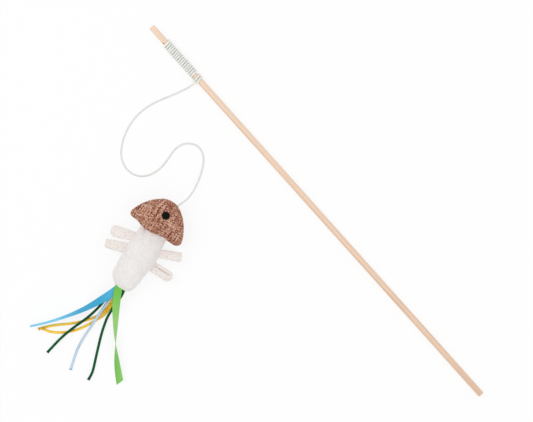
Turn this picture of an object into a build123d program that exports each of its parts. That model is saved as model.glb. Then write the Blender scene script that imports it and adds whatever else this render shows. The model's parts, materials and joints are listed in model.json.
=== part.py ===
from build123d import *
from math import asin, ceil, cos, dist, pi, radians, sin, sqrt, tan
import os

os.makedirs("parts", exist_ok=True)

# A cat teaser wand lying on a table: a wooden rod, a cord wound round its tip, and a stuffed
# fish-bone lure with ribs of folded tape and a tail of ribbons and satin cords.
# Millimetres. The origin is the centre of the rod's grip end, +X runs up the rod to its tip,
# +Y points to the side where the lure lies, and +Z is up.

# Sizes of the rod
rod_diameter = 5.0
rod_length = 390.0
rod_edge = 0.4
bed_depth = 0.2
hole_diameter = 1.8
hole_from_tip = 16.0
hole_lift = 35.0

# Sizes of the cord and its winding on the rod
cord_diameter = 1.4
bed_clearance = 0.1
winding_turns = 18
exit_angle = 55.0
winding_pitch = 2.08
winding_wide_gap = 1.5
wide_turn = 16
bed_margin = 1.0
winding_flat = 0.5
anchor_reach = 1.8
anchor_tail = 0.3
anchor_bend = 45.0
exit_run = 1.8
swivel_gap = 0.3

# Place of the lure on the table
lure_along_rod = 268.0
lure_off_rod = 104.5
lure_turn = 104.8
seam_height = 9.5

# Sizes of the head: a half dome sewn from a front and a back panel
head_width = 48.8
head_height = 26.0
head_offset = -1.2
head_base_sag = 2.4
head_corner_drop = 1.0
head_corner_radius = 3.6
head_half_thickness = 10.0
head_wall = 1.5
head_fullness = 2.1
crown_up = 11.0
shoulder_up_share = 0.904
shoulder_out_share = 0.348
flank_up_share = 0.585
flank_out_share = 0.713
dome_height_shares = [0.0, 0.5, 0.8, 0.94, 0.985]

# Sizes of the eyes
eye_diameter = 6.2
eye_up = 13.8
eye_across = 0.1
eye_proud = 0.2
eye_sunk = 0.8
back_eye_thickness = 0.6

# Sizes of the cord's end inside the head
cord_entry_across = 3.8
knot_depth = 9.0
knot_diameter = 4.4
cord_hole_clearance = 0.1

# Sizes of the body: a plush bag sewn from a front and a back panel
body_length = 53.6
body_width = 27.0
body_half_thickness = 10.0
body_wall = 1.2
tail_across = 1.2
body_along_shares = [-0.13, 0.04, 0.18, 0.35, 0.52, 0.67, 0.80, 0.915, 1.0]
body_width_shares = [0.92, 0.94, 0.975, 1.0, 0.99, 0.945, 0.85, 0.67, 0.44]
body_height_shares = [0.22, 0.38, 0.78, 0.97, 1.0, 0.95, 0.81, 0.56, 0.26]
body_across_shares = [0.0, 0.0, 0.0, 0.0, 0.0, 0.15, 0.4, 0.75, 1.0]

# Sizes of the ribs: folded tape sewn into the body's side seams
rib_length = 14.9
rib_width = 8.2
rib_tip_rise = 2.4
rib_root_thickness = 2.2
rib_swell = 3.2
rib_tip_thickness = 2.0
rib_droop = 8.0
rib_gap = 0.4
rib_place_shares = {"upper_right": 0.238, "lower_right": 0.475, "upper_left": 0.245, "lower_left": 0.48}
rib_length_shares = {"upper_right": 0.995, "lower_right": 1.08, "upper_left": 1.0, "lower_left": 0.93}
rib_width_shares = {"upper_right": 0.89, "lower_right": 1.03, "upper_left": 1.09, "lower_left": 1.0}
rib_slants = {"upper_right": 23.0, "lower_right": 0.0, "upper_left": -23.0, "lower_left": -19.0}
round_tipped = ["lower_right", "upper_left"]

# Sizes of the tail: satin cords in a row under two ribbons, sewn into the body's end seam
strand_diameter = 2.1
strand_pitch = 2.2
strand_drop = 0.7
strand_gap = 0.35
ribbon_width = 6.4
ribbon_thickness = 0.4
ribbon_gap = 0.8
blue_rise = 0.9
green_rise = 1.6

# Share of the shorter run that a cord's bend takes beside its corner, and of the radius that rounds its end
bend_share = 0.45
end_round_share = 0.95

rod_radius = rod_diameter / 2
cord_radius = cord_diameter / 2
strand_radius = strand_diameter / 2
bed_radius = rod_radius - bed_depth
helix_radius = bed_radius + bed_clearance + cord_radius
floor_height = -rod_radius

# The winding's length along the rod, and the lean that lets the rod rest on it
hole_along = rod_length - hole_from_tip
anchor_angle = 180 + hole_lift
helix_start = anchor_angle - anchor_bend
total_turned = helix_start - exit_angle + 360 * winding_turns
full_turns = total_turned / 360
winding_length = winding_pitch * full_turns + winding_wide_gap
exit_along = hole_along - winding_length
lean = asin((helix_radius + cord_radius - winding_flat - rod_radius) / exit_along)

# Local x of the wand is the side to the lure, local y is up, and local z runs along the rod
wand = Plane(origin=(0, 0, 0), x_dir=(0, 1, 0), z_dir=(cos(lean), 0, sin(lean)))

# Local x of the lure runs from its neck to its tail, local y across it, and local z up from the table
lure_way = Vector(1, 0, 0).rotate(Axis.Z, lure_turn)
lure = Plane(origin=(lure_along_rod, lure_off_rod, floor_height), x_dir=lure_way, z_dir=(0, 0, 1))
table = Plane(origin=(0, 0, floor_height))
seam = lure.offset(seam_height)


def on_wand(side, up, along):
    return wand.from_local_coords(Vector(side, up, along))


def on_lure(along, across, height):
    return lure.from_local_coords(Vector(along, across, height))


def save(piece, name):
    piece.label = name
    export_step(piece, f"parts/{name}.step")


# Rod: a dowel with eased ends, a bed pressed by the winding, and a cross hole for the cord's end
bed_start = exit_along - bed_margin
bed_end = hole_along + hole_diameter / 2 + bed_margin
with BuildPart() as rod:
    with BuildSketch(wand):
        Circle(rod_radius)
    extrude(amount=rod_length)
    chamfer(rod.edges().filter_by(GeomType.CIRCLE), rod_edge)
    with BuildSketch(wand.offset(bed_start)):
        Circle(rod_radius)
        Circle(bed_radius, mode=Mode.SUBTRACT)
    extrude(amount=bed_end - bed_start, mode=Mode.SUBTRACT)
    hole_way = on_wand(cos(radians(hole_lift)), sin(radians(hole_lift)), 0)
    with BuildSketch(Plane(origin=on_wand(0, 0, hole_along), z_dir=hole_way)):
        Circle(hole_diameter / 2)
    extrude(amount=rod_diameter, both=True, mode=Mode.SUBTRACT)
save(rod.part, "rod")

# Winding: one unbroken cord from the cross hole, round the rod towards the grip
wide_from = 360 * (wide_turn - 1)


def wide_step(turned):
    step = min(max((turned - wide_from) / 360, 0), 1)
    return winding_wide_gap * step * step * (3 - 2 * step)


def helix_point(turned):
    angle = radians(helix_start - turned)
    along = hole_along - winding_pitch * turned / 360 - wide_step(turned)
    return on_wand(helix_radius * cos(angle), helix_radius * sin(angle), along)


def helix_way(turned):
    step = min(max((turned - wide_from) / 360, 0), 1)
    angle = radians(helix_start - turned)
    around = 2 * pi * helix_radius
    advance = winding_pitch + winding_wide_gap * 6 * step * (1 - step)
    return on_wand(around * sin(angle), -around * cos(angle), -advance).normalized()


def biarc(start, start_way, end, end_way):
    span = end - start
    ways = start_way + end_way
    turn = 1 - start_way.dot(end_way)
    root = sqrt(span.dot(ways) ** 2 + 2 * turn * span.dot(span))
    reach = (root - span.dot(ways)) / (2 * turn)
    first_corner = start + start_way * reach
    last_corner = end - end_way * reach
    meeting = (first_corner + last_corner) / 2
    TangentArc(start, meeting, tangent=start_way)
    TangentArc(meeting, end, tangent=last_corner - first_corner)


half_turns = ceil(total_turned / 180)
turned_marks = [total_turned * i / half_turns for i in range(half_turns + 1)]
anchor_way = on_wand(cos(radians(anchor_angle)), sin(radians(anchor_angle)), 0)
anchor_start = on_wand(0, 0, hole_along) + anchor_way * anchor_tail
anchor_lip = on_wand(0, 0, hole_along) + anchor_way * anchor_reach
exit_way = helix_way(total_turned)
winding_end = helix_point(total_turned) + exit_way * exit_run
with BuildPart() as cord_winding:
    with BuildLine() as winding_path:
        Line(anchor_start, anchor_lip)
        biarc(anchor_lip, anchor_way, helix_point(0), helix_way(0))
        for turned, turned_next in zip(turned_marks, turned_marks[1:]):
            biarc(
                helix_point(turned), helix_way(turned),
                helix_point(turned_next), helix_way(turned_next),
            )
        Line(helix_point(total_turned), winding_end)
    with BuildSketch(Plane(origin=anchor_start, z_dir=anchor_way)):
        Circle(cord_radius)
    sweep()
    split(bisect_by=table, keep=Keep.TOP)
save(cord_winding.part, "cord_winding")

samples_per_turn = 24
turn_points = [
    helix_point(360 * i / samples_per_turn)
    for i in range(int(total_turned * samples_per_turn / 360))
]
least_gap = min(
    dist(tuple(a), tuple(b))
    for i, a in enumerate(turn_points)
    for b in turn_points[i + samples_per_turn // 2:]
) - cord_diameter
tightest = min(edge.radius for edge in winding_path.line.edges().filter_by(GeomType.CIRCLE))
print(f"winding: {full_turns:.2f} turns, least gap {least_gap:.2f}, tightest bend {tightest:.2f}")


def bend_radii(points):
    radii = []
    for before, corner, after in zip(points, points[1:], points[2:]):
        run_in = corner - before
        run_out = after - corner
        turn = radians(run_in.get_angle(run_out))
        radii.append(bend_share * min(run_in.length, run_out.length) / tan(turn / 2))
    return radii


def lay_cord(points, diameter):
    radii = bend_radii(points)
    FilletPolyline(points, radius=radii)
    return min(radii) / diameter


def tell_cord(name, path, piece, diameter, tightest_share):
    length = sum(edge.length for edge in path.edges())
    drawn = pi * (diameter / 2) ** 2 * length
    print(
        f"{name}: {length:.0f} long, tightest bend {tightest_share:.1f} diameters, "
        f"volume {piece.volume:.1f} for {drawn:.1f} drawn"
    )


# Cord: the free stretch, which slopes from the winding to the table, lies there in an S and climbs
# to the head's seam. Its route is chosen by hand, with heights above the table.
swivel_reach = cord_radius + swivel_gap
cord_start = winding_end + exit_way * swivel_gap
cord_exit = winding_end + exit_way * swivel_reach
entry_across = cord_entry_across - head_offset
shoulder_up = head_height * shoulder_up_share
shoulder_out = head_width / 2 * shoulder_out_share
top_rise = head_height - shoulder_up
top_radius = (shoulder_out ** 2 + top_rise ** 2) / (2 * top_rise)
entry_up = head_height - top_radius + sqrt(top_radius ** 2 - entry_across ** 2)
cord_end = on_lure(-entry_up - swivel_gap, cord_entry_across, seam_height)
cord_entry = on_lure(-entry_up - swivel_reach, cord_entry_across, seam_height)
cord_route = [
    (334.6, 8.2, 1.7), (335.8, 13.6, 0.7), (338.0, 20.8, 0.7), (340.4, 27.6, 0.7),
    (343.4, 36.0, 0.7), (345.7, 46.2, 0.7), (345.8, 56.8, 0.7), (343.2, 67.6, 0.7),
    (338.2, 77.6, 0.7), (331.6, 85.4, 0.7), (324.4, 89.2, 0.7), (316.8, 89.8, 0.7),
    (310.2, 87.4, 0.7), (305.6, 82.6, 0.7), (302.8, 75.8, 0.7), (302.2, 68.0, 0.7),
    (303.8, 59.6, 0.7), (306.0, 51.2, 0.7), (305.2, 44.2, 0.7), (301.6, 38.8, 0.7),
    (296.8, 35.8, 0.7), (291.2, 35.6, 0.7), (285.6, 38.2, 0.7), (280.0, 44.4, 0.8),
    (275.0, 53.0, 1.9), (271.6, 62.2, 4.8), (270.2, 70.6, 8.2),
]
cord_points = [cord_start]
cord_points += [Vector(x, y, floor_height + height) for x, y, height in cord_route]
cord_points += [cord_end]
with BuildPart() as cord:
    with BuildLine() as cord_path:
        cord_tightest = lay_cord(cord_points, cord_diameter)
    with BuildSketch(Plane(origin=cord_path.line @ 0, z_dir=cord_path.line % 0)):
        Circle(cord_radius)
    sweep()
    for end in (cord_start, cord_end):
        end_edge = cord.edges().filter_by(GeomType.CIRCLE).sort_by_distance(end)[0]
        fillet(end_edge, cord_radius * end_round_share)
save(cord.part, "cord")
tell_cord("cord", cord_path.line, cord.part, cord_diameter, cord_tightest)


# Head: each panel is half of a pillow, lofted from the seam's outline up to the crown
def head_outline(inset):
    flank_up = head_height * flank_up_share
    corner = (crown_up + head_corner_drop, head_width / 2)
    flank = (crown_up - flank_up, head_width / 2 * flank_out_share)
    shoulder = (crown_up - shoulder_up, shoulder_out)
    with BuildSketch() as outline:
        with BuildLine():
            ThreePointArc(corner, flank, shoulder)
            ThreePointArc(shoulder, (crown_up - head_height, 0), (shoulder[0], -shoulder[1]))
            ThreePointArc((shoulder[0], -shoulder[1]), (flank[0], -flank[1]), (corner[0], -corner[1]))
            ThreePointArc((corner[0], -corner[1]), (crown_up + head_base_sag, 0), corner)
        make_face()
        fillet(outline.vertices().group_by(Axis.X)[-1], head_corner_radius)
        if inset:
            offset(amount=-inset, mode=Mode.REPLACE)
    return outline.sketch


def half_head(inset):
    crown_plane = Plane(origin=on_lure(-crown_up, head_offset, seam_height), x_dir=lure_way, z_dir=(0, 0, 1))
    outline = head_outline(inset)
    with BuildPart() as half:
        for share in dome_height_shares:
            size_share = (1 - share ** head_fullness) ** (1 / head_fullness)
            with BuildSketch(crown_plane.offset((head_half_thickness - inset) * share)):
                add(scale(outline, by=size_share, mode=Mode.PRIVATE))
        loft()
    return half.part


head_half = half_head(0)
head_core_half = half_head(head_wall)
head_back_half = mirror(head_half, about=seam)
head_core_back_half = mirror(head_core_half, about=seam)
entry_line = on_lure(-entry_up, cord_entry_across, seam_height)
crown_top = seam_height + head_half_thickness
eye_place = (-eye_up, eye_across)


def eye_disc(height, thickness):
    with BuildPart() as disc:
        with BuildSketch(Plane(origin=on_lure(*eye_place, height))):
            Circle(eye_diameter / 2)
        extrude(amount=thickness)
    return disc.part


eye_front = eye_disc(crown_top - eye_sunk, eye_sunk + eye_proud)
eye_back = eye_disc(0, back_eye_thickness)
save(eye_front, "eye_front")
save(eye_back, "eye_back")

with BuildPart() as cord_hole:
    with BuildSketch(Plane(origin=cord_entry, z_dir=lure_way)):
        Circle(cord_radius + cord_hole_clearance)
    extrude(amount=swivel_reach + knot_depth)

with BuildPart() as head_front_panel:
    add(head_half)
    add(head_core_half, mode=Mode.SUBTRACT)
    add(eye_front, mode=Mode.SUBTRACT)
    add(cord_hole.part, mode=Mode.SUBTRACT)
save(head_front_panel.part, "head_front_panel")

with BuildPart() as head_back_panel:
    add(head_back_half)
    add(head_core_back_half, mode=Mode.SUBTRACT)
    split(bisect_by=table, keep=Keep.TOP)
    add(eye_back, mode=Mode.SUBTRACT)
    add(cord_hole.part, mode=Mode.SUBTRACT)
save(head_back_panel.part, "head_back_panel")


# Stop knot: the cord's end inside the head, with the stub that comes out through the seam
def knot_form(clearance):
    knot_plane = Plane(origin=entry_line, x_dir=lure_way, z_dir=lure_way.cross(Vector(0, 0, 1)))
    neck = cord_radius + clearance
    wide = knot_diameter / 2 + clearance
    shoulder = knot_depth - sqrt(wide ** 2 - neck ** 2)
    with BuildPart() as form:
        with BuildSketch(knot_plane):
            with BuildLine():
                Polyline((knot_depth + wide, 0), (0, 0), (0, neck), (shoulder, neck))
                ThreePointArc((shoulder, neck), (knot_depth, wide), (knot_depth + wide, 0))
            make_face()
        revolve(axis=Axis(entry_line, lure_way))
    return form.part


save(knot_form(0), "cord_stop_knot")

with BuildPart() as head_stuffing:
    add(head_core_half)
    add(head_core_back_half)
    add(knot_form(cord_hole_clearance), mode=Mode.SUBTRACT)
save(head_stuffing.part, "head_stuffing")


# Body: each panel is half of a bag, lofted through lens sections from the neck to the tail
def half_body(inset):
    with BuildPart() as half:
        for along_share, width_share, height_share, across_share in zip(
            body_along_shares, body_width_shares, body_height_shares, body_across_shares
        ):
            along = body_length * along_share
            if along_share == body_along_shares[-1]:
                along -= inset
            out = body_width / 2 * width_share - inset
            rise = body_half_thickness * height_share - inset
            centre = on_lure(along, tail_across * across_share, seam_height)
            with BuildSketch(Plane(origin=centre, x_dir=lure.y_dir, z_dir=lure_way)):
                with BuildLine():
                    ThreePointArc((-out, 0), (0, rise), (out, 0))
                    Line((out, 0), (-out, 0))
                make_face()
        loft()
    return half.part


body_half = half_body(0)
body_core_half = half_body(body_wall)
body_back_half = mirror(body_half, about=seam)
body_core_back_half = mirror(body_core_half, about=seam)

with BuildPart() as body_front_panel:
    add(body_half)
    add(body_core_half, mode=Mode.SUBTRACT)
    add(head_half, mode=Mode.SUBTRACT)
save(body_front_panel.part, "body_front_panel")

with BuildPart() as body_back_panel:
    add(body_back_half)
    add(body_core_back_half, mode=Mode.SUBTRACT)
    add(head_back_half, mode=Mode.SUBTRACT)
    split(bisect_by=table, keep=Keep.TOP)
save(body_back_panel.part, "body_back_panel")

with BuildPart() as body_stuffing:
    add(body_core_half)
    add(body_core_back_half)
    add(head_half, mode=Mode.SUBTRACT)
    add(head_back_half, mode=Mode.SUBTRACT)
save(body_stuffing.part, "body_stuffing")

# Ribs: folded tape, swollen along its length, with a rounded root that turns in the side seam
rib_root = rib_root_thickness / 2
rib_tip = rib_tip_thickness / 2
rib_axis_across = body_width / 2 + rib_gap + rib_root
rib_hinges = {}
for place, place_share in rib_place_shares.items():
    side = 1 if "right" in place else -1
    round_tip = place in round_tipped
    length = rib_length * rib_length_shares[place]
    width = rib_width * rib_width_shares[place]
    hinge = on_lure(body_length * place_share, side * rib_axis_across, seam_height)
    level = lure.y_dir * side
    outward = level.rotate(Axis(hinge, lure_way), -side * rib_droop)
    plan = Plane(origin=hinge, x_dir=level, z_dir=(0, 0, side)).rotated((0, 0, rib_slants[place]))
    with BuildPart() as rib:
        with BuildSketch(Plane(origin=hinge, x_dir=outward, z_dir=lure_way)):
            with BuildLine():
                ThreePointArc((0, -rib_root), (-rib_root, 0), (0, rib_root))
                ThreePointArc((0, rib_root), (length / 2, rib_swell / 2), (length, rib_tip))
                ThreePointArc((length, rib_tip), (length + rib_tip, 0), (length, -rib_tip))
                ThreePointArc((length, -rib_tip), (length / 2, -rib_swell / 2), (0, -rib_root))
            make_face()
        extrude(amount=length, both=True)
        with BuildSketch(plan):
            with BuildLine():
                shoulder = length - rib_tip_rise if round_tip else length
                Polyline((shoulder, -width / 2), (-width, -width / 2), (-width, width / 2), (shoulder, width / 2))
                if round_tip:
                    ThreePointArc((shoulder, width / 2), (length, 0), (shoulder, -width / 2))
                else:
                    Line((shoulder, width / 2), (shoulder, -width / 2))
            make_face()
        extrude(amount=length, both=True, mode=Mode.INTERSECT)
    rib_hinges[place] = hinge
    save(rib.part, f"{place}_rib")

# Satin cords of the tail: their roots stand in a row in the body's end seam, and their routes are
# chosen by hand along the lure, across it and above the table
strand_routes = {
    "left_dark_green_cord": [
        (59.5, -3.2, 8.3), (66.0, -3.5, 6.7), (72.5, -4.0, 5.4), (79.0, -5.5, 4.4), (85.4, -7.5, 3.8),
        (92.2, -9.3, 3.6), (98.8, -11.5, 3.5), (105.6, -13.6, 3.55), (112.0, -15.6, 2.9),
        (118.8, -17.2, 1.5), (127.4, -19.1, 1.05),
    ],
    "light_blue_cord": [
        (59.5, -1.0, 8.3), (67.0, -0.8, 6.5), (75.5, -1.2, 4.6), (83.0, -1.4, 3.75), (90.5, -1.1, 3.55),
        (98.0, -0.9, 2.3), (105.5, -0.4, 1.15), (113.5, 0.7, 1.05), (121.0, 2.1, 1.05), (128.8, 3.9, 1.05),
    ],
    "upper_yellow_cord": [
        (59.3, 1.2, 8.1), (64.5, 1.2, 5.7), (69.8, 1.0, 3.0), (75.0, 0.5, 1.3), (80.6, -1.2, 1.05),
        (87.6, -5.6, 1.05), (96.5, -13.2, 1.05), (103.7, -22.2, 1.05), (110.2, -29.7, 1.05),
        (116.5, -35.0, 1.05),
    ],
    "lower_yellow_cord": [
        (59.3, 3.4, 8.1), (64.5, 3.4, 5.7), (69.8, 3.2, 3.0), (75.2, 2.8, 1.3), (80.2, 1.8, 1.05),
        (86.6, -1.4, 1.05), (94.0, -5.0, 1.05), (101.4, -10.0, 1.05), (107.0, -15.8, 1.05),
        (110.9, -21.6, 1.05), (113.4, -26.8, 1.05), (115.3, -30.3, 1.05), (118.0, -32.9, 1.05),
    ],
    "right_dark_green_cord": [
        (59.5, 5.7, 8.3), (65.5, 5.6, 6.1), (71.8, 5.3, 3.4), (77.6, 5.2, 1.4), (84.5, 6.6, 1.05),
        (93.0, 9.0, 1.05), (102.1, 12.3, 1.05), (110.9, 15.6, 1.05), (117.6, 18.2, 1.05),
        (122.6, 20.0, 1.05), (127.8, 20.7, 1.05),
    ],
}
strand_root_along = body_length + strand_gap + strand_radius
row_middle = (len(strand_routes) - 1) / 2
for place, (name, route) in enumerate(strand_routes.items()):
    root_across = tail_across + strand_pitch * (place - row_middle)
    root = on_lure(strand_root_along, root_across, seam_height - strand_drop)
    strand_points = [root] + [on_lure(*point) for point in route]
    with BuildPart() as strand:
        with BuildLine() as strand_path:
            strand_tightest = lay_cord(strand_points, strand_diameter)
        with BuildSketch(Plane(origin=strand_path.line @ 0, z_dir=strand_path.line % 0)):
            Circle(strand_radius)
        sweep()
        root_edge = strand.edges().filter_by(GeomType.CIRCLE).sort_by_distance(root)[0]
        fillet(root_edge, strand_radius * end_round_share)
    save(strand.part, name)
    tell_cord(name, strand_path.line, strand.part, strand_diameter, strand_tightest)

# Ribbons of the tail: flat strips that turn over on their way, each with a route chosen by hand along
# the lure, across it and above the table, and the twist in degrees at each point
ribbon_root_along = body_length + ribbon_gap
ribbon_routes = {
    "blue_ribbon": [
        (ribbon_root_along, 0.9, seam_height + blue_rise, 0), (63.3, -2.9, 10.1, 11), (71.9, -7.2, 8.6, 34),
        (80.3, -11.6, 6.6, 50), (88.4, -16.7, 5.0, 61), (96.2, -22.3, 4.1, 69), (103.8, -28.3, 3.6, 74),
        (111.1, -34.7, 3.5, 77), (118.0, -41.5, 3.4, 78),
    ],
    "green_ribbon": [
        (ribbon_root_along, 0.0, seam_height + green_rise, 0), (62.5, 4.0, 10.9, -12), (70.1, 8.2, 9.0, -31),
        (77.6, 12.8, 6.7, -50), (85.0, 17.5, 4.8, -68), (92.1, 22.2, 3.6, -90), (98.9, 27.2, 3.2, -113),
        (105.4, 32.4, 2.75, -133), (111.1, 37.3, 2.2, -147), (116.3, 42.1, 1.7, -155),
    ],
}
for name, route in ribbon_routes.items():
    centres = [on_lure(*station[:3]) for station in route]
    with BuildPart() as ribbon:
        for place, centre in enumerate(centres):
            before = centres[max(place - 1, 0)]
            after = centres[min(place + 1, len(centres) - 1)]
            way = (after - before).normalized() if place else lure_way
            side = Vector(0, 0, 1).cross(way).normalized()
            twisted = side.rotate(Axis(centre, way), route[place][3])
            with BuildSketch(Plane(origin=centre, x_dir=twisted, z_dir=way)):
                Rectangle(ribbon_width, ribbon_thickness)
        loft()
    save(ribbon.part, name)
    ribbon_length = sum((b - a).length for a, b in zip(centres, centres[1:]))
    print(f"{name}: {ribbon_length:.0f} long, volume {ribbon.part.volume:.1f}")

# Places of the joints, in millimetres
print("cord leaves the winding at", cord_exit)
print("cord meets the head at", cord_entry)
for place, hinge in rib_hinges.items():
    print(f"{place} rib turns at", hinge)
print("tail turns at", on_lure(ribbon_root_along, tail_across, seam_height + green_rise))
print("blue ribbon turns at", on_lure(ribbon_root_along, tail_across, seam_height + blue_rise))
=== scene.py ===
# %% [markdown]
# # A cat teaser wand
# A wooden dowel carries a cord that is wound round it near its tip. The cord lies in an S on the table and
# ends in the head of a stuffed fish-bone lure with four ribs and a tail of ribbons and satin cords.
# The sizes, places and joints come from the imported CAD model, which is loaded first as a fixed frame. This
# lesson dresses that frame: every soft piece is made again as what it is, and every surface gets its finish.

# %% Load the frame
import json
import math

import bmesh
import bpy
import numpy as np
from mathutils import Matrix, Vector, geometry, kdtree, noise


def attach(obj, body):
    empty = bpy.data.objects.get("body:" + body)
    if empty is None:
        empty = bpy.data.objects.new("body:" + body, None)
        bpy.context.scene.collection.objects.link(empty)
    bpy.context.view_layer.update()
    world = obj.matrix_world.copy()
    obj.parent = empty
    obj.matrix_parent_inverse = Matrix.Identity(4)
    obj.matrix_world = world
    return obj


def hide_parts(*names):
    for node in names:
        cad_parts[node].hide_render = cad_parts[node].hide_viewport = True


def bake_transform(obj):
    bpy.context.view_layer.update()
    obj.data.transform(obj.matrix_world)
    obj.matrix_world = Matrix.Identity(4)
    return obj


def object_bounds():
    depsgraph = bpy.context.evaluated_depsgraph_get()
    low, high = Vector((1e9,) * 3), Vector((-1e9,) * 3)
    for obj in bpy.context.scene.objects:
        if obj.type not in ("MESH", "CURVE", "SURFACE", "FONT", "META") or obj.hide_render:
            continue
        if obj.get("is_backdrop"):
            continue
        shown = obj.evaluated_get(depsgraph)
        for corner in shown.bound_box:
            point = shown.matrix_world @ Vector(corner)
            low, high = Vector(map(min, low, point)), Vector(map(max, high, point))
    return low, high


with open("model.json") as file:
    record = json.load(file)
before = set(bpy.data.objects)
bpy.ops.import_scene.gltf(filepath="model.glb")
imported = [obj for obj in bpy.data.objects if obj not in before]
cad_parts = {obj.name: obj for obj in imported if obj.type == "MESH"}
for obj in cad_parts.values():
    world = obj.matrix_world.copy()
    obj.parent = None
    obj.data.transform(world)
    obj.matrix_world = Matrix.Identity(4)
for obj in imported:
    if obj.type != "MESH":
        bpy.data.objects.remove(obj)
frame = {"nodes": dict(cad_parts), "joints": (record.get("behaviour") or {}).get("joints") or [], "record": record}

cad_low, cad_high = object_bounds()
print("CAD box in mm:", [round(1000 * (b - a)) for a, b in zip(cad_low, cad_high)])

# %% [markdown]
# ## One set of axes for the lure
# The lure lies askew on the table, so its pieces are easier to write in its own axes: along the fish from the
# head's base to the tail, across it, and up from the table, all in millimetres. One helper turns such a
# triple into a point of the shared frame, in metres.

# %% The lure's axes
MM = 0.001
UP = Vector((0.0, 0.0, 1.0))
TABLE = cad_low.z
LURE_TURN = math.radians(104.8)
LURE_WAY = Vector((math.cos(LURE_TURN), math.sin(LURE_TURN), 0.0))
LURE_ACROSS = UP.cross(LURE_WAY)
LURE_ORIGIN = Vector((0.268, 0.1045, TABLE))
SEAM = 9.5
joints = {joint["name"]: joint for joint in frame["joints"]}


def on_lure(along, across, height):
    return LURE_ORIGIN + (LURE_WAY * along + LURE_ACROSS * across + UP * height) * MM


def lure_points(along, across, height):
    axes = np.array([LURE_WAY, LURE_ACROSS, UP]) * MM
    spots = np.stack([np.ravel(along), np.ravel(across), np.ravel(height)], 1)
    return np.array(LURE_ORIGIN) + spots @ axes


print("the lure's head base is at", [round(v, 4) for v in on_lure(0, 0, SEAM)])

# %% [markdown]
# ## The camera
# The picture looks straight down at the table, turned so that the rod runs from the top left to the bottom
# right. A long lens keeps the rod from tapering. The camera comes first, because the cords are laid by what
# it sees.

# %% Camera
IMAGE_RIGHT = Vector((-0.6675, -0.7446, 0.0)).normalized()
IMAGE_UP = UP.cross(IMAGE_RIGHT)
VIEW_CENTRE = Vector((0.2212, 0.0295, 0.0))
VIEW_WIDTH = 0.421


def put(name, data):
    """A new object in the scene."""
    made = bpy.data.objects.new(name, data)
    bpy.context.collection.objects.link(made)
    return made


lens = bpy.data.cameras.new("camera")
lens.lens, lens.sensor_width = 250.0, 36.0
camera = put("camera", lens)
camera.matrix_world = Matrix.Translation(
    VIEW_CENTRE + UP * VIEW_WIDTH * lens.lens / lens.sensor_width
) @ Matrix((IMAGE_RIGHT, IMAGE_UP, UP)).transposed().to_4x4()
bpy.context.scene.camera = camera
print("camera height in m:", round(camera.matrix_world.translation.z, 3))

# %% [markdown]
# ## Nodes as sums
# Finishes and shapes below are node trees. Wired by hand they are hard to read, so one small class wraps an
# output and turns Python's operators into Math nodes, and one method makes any other node: its type, its
# settings, then its sockets. Short methods stand for the nodes that come back often. The same two classes
# serve shaders and Geometry Nodes.

# %% Sockets and graphs


class Socket:
    """One output of a node, which can be used in a sum."""

    def __init__(self, graph, socket):
        self.graph, self.socket = graph, socket

    def of(self, name):
        return Socket(self.graph, self.socket.node.outputs[name])

    def __add__(self, other):
        return self.graph.maths("ADD", self, other)

    def __sub__(self, other):
        return self.graph.maths("SUBTRACT", self, other)

    def __mul__(self, other):
        return self.graph.maths("MULTIPLY", self, other)

    def __truediv__(self, other):
        return self.graph.maths("DIVIDE", self, other)

    def __rsub__(self, other):
        return self.graph.maths("SUBTRACT", other, self)

    def __rtruediv__(self, other):
        return self.graph.maths("DIVIDE", other, self)

    __radd__, __rmul__ = __add__, __mul__


class Graph:
    """A node tree with one way to add a node."""

    def __init__(self, tree):
        self.tree = tree

    def node(self, kind, settings=None, sockets=None, output=0):
        made = self.tree.nodes.new(kind)
        for key, value in (settings or {}).items():
            if key == "stops":
                ramp = made.color_ramp.elements
                for _ in range(len(value) - 2):
                    ramp.new(0.5)
                for stop, (place, colour) in zip(ramp, value):
                    stop.position, stop.color = place, paint(*colour)
            else:
                setattr(made, key, value)
        for key, value in (sockets or {}).items():
            if isinstance(value, Socket):
                self.tree.links.new(value.socket, made.inputs[key])
            else:
                made.inputs[key].default_value = value
        return Socket(self, made.outputs[output]) if len(made.outputs) else None

    def maths(self, operation, *values, **settings):
        return self.node("ShaderNodeMath", {"operation": operation, **settings}, dict(enumerate(values)))

    def mix(self, factor, first, second):
        sockets = {0: factor, 6: first, 7: second}
        return self.node("ShaderNodeMix", {"data_type": "RGBA"}, sockets, 2)

    def ramp(self, factor, *stops):
        """Colours, as they are read off a screen, at places from 0 to 1."""
        return self.node("ShaderNodeValToRGB", {"stops": stops}, {"Fac": factor})

    def speckle(self, vector, scale, detail, roughness=0.55):
        sockets = {"Vector": vector, "Scale": scale, "Detail": detail, "Roughness": roughness}
        return self.node("ShaderNodeTexNoise", None, sockets)

    def stretch(self, vector, scale):
        return self.node("ShaderNodeMapping", None, {"Vector": vector, "Scale": scale})

    def mark(self, name, output="Fac"):
        return self.node("ShaderNodeAttribute", {"attribute_name": name}, None, output)

    def room(self):
        return self.node("ShaderNodeTexCoord", None, None, "Object")

    def parts(self, vector):
        return self.node("ShaderNodeSeparateXYZ", None, {"Vector": vector})

    def spot(self, x, y, z):
        return self.node("ShaderNodeCombineXYZ", None, {"X": x, "Y": y, "Z": z})

    def chance(self, dimensions, **sockets):
        return self.node("ShaderNodeTexWhiteNoise", {"noise_dimensions": dimensions}, sockets, "Value")


def paint(red, green, blue):
    """A colour as it is read off a screen, for a socket that wants linear light."""
    parts = [c / 255 for c in (red, green, blue)]
    return tuple(c / 12.92 if c < 0.04045 else ((c + 0.055) / 1.055) ** 2.4 for c in parts) + (1.0,)


def finish_graph(name):
    finish = bpy.data.materials.new(name)
    finish.use_nodes = True
    finish.node_tree.nodes.clear()
    return finish, Graph(finish.node_tree)


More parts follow.
